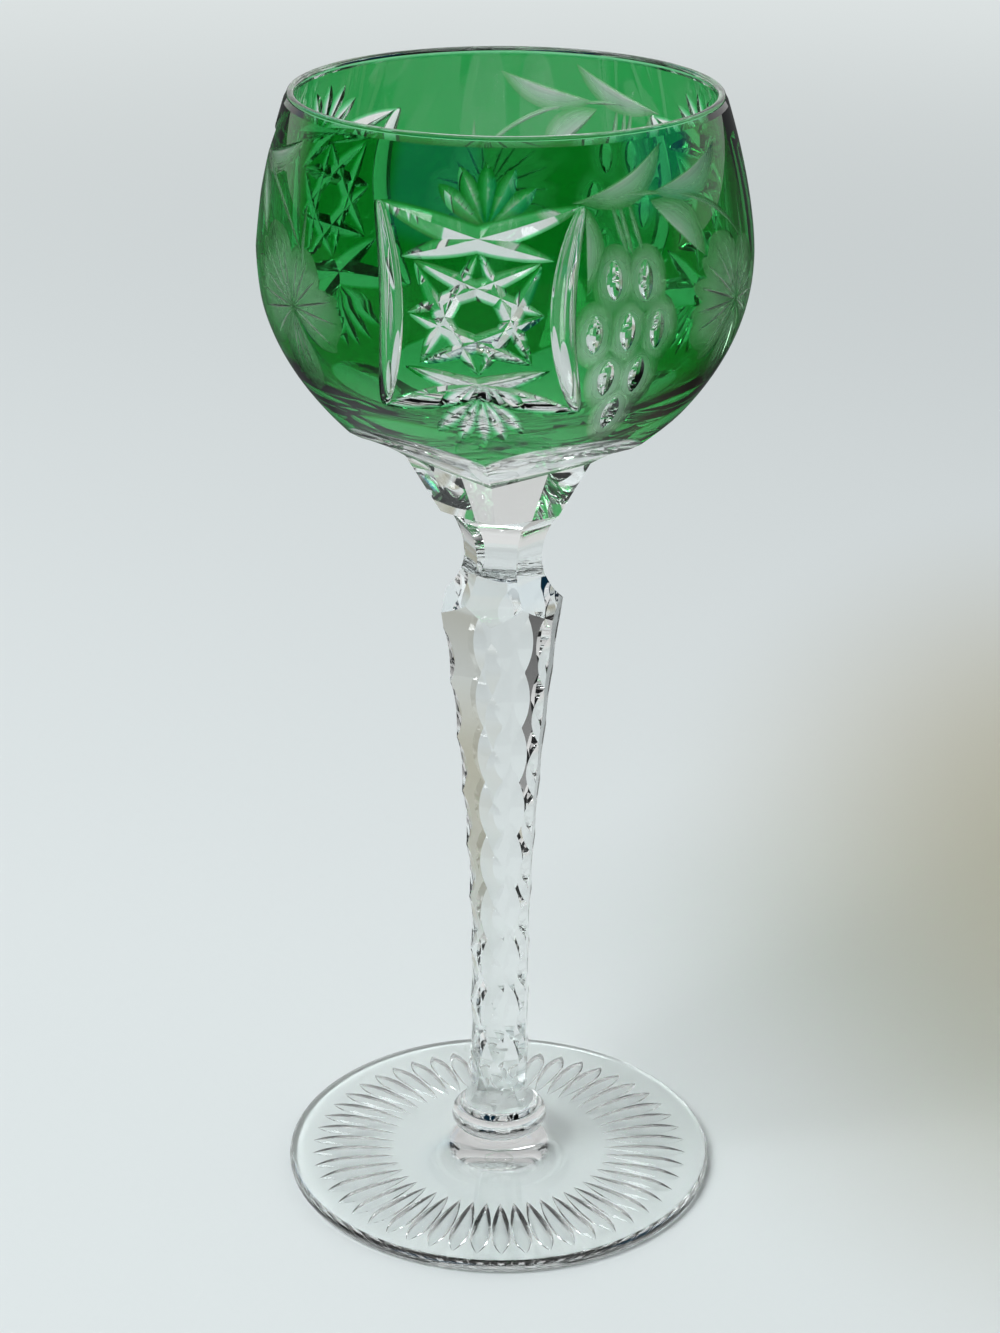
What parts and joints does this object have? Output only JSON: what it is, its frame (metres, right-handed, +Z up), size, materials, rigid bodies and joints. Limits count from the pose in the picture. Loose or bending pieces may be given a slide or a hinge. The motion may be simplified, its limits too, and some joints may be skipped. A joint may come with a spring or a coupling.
{
  "type": "wine goblet",
  "caption": "Tall hock goblet: round bowl of clear crystal cased in green glass and cut through to the clear, on a faceted notched stem, collar and fluted round foot.",
  "frame": {"origin": "middle of the foot's underside", "axes": "+Z up along the stem, the middle of one star panel faces -Y"},
  "size_m": [0.0856, 0.0856, 0.21],
  "materials": {
    "clear_crystal": "cut and polished clear lead crystal",
    "green_casing": "polished emerald green glass casing, cut and engraved"
  },
  "bodies": {
    "root": {"foot": "clear_crystal", "stem_collar": "clear_crystal", "stem": "clear_crystal", "bowl_lining": "clear_crystal", "bowl_casing": "green_casing"}
  },
  "joints": []
}
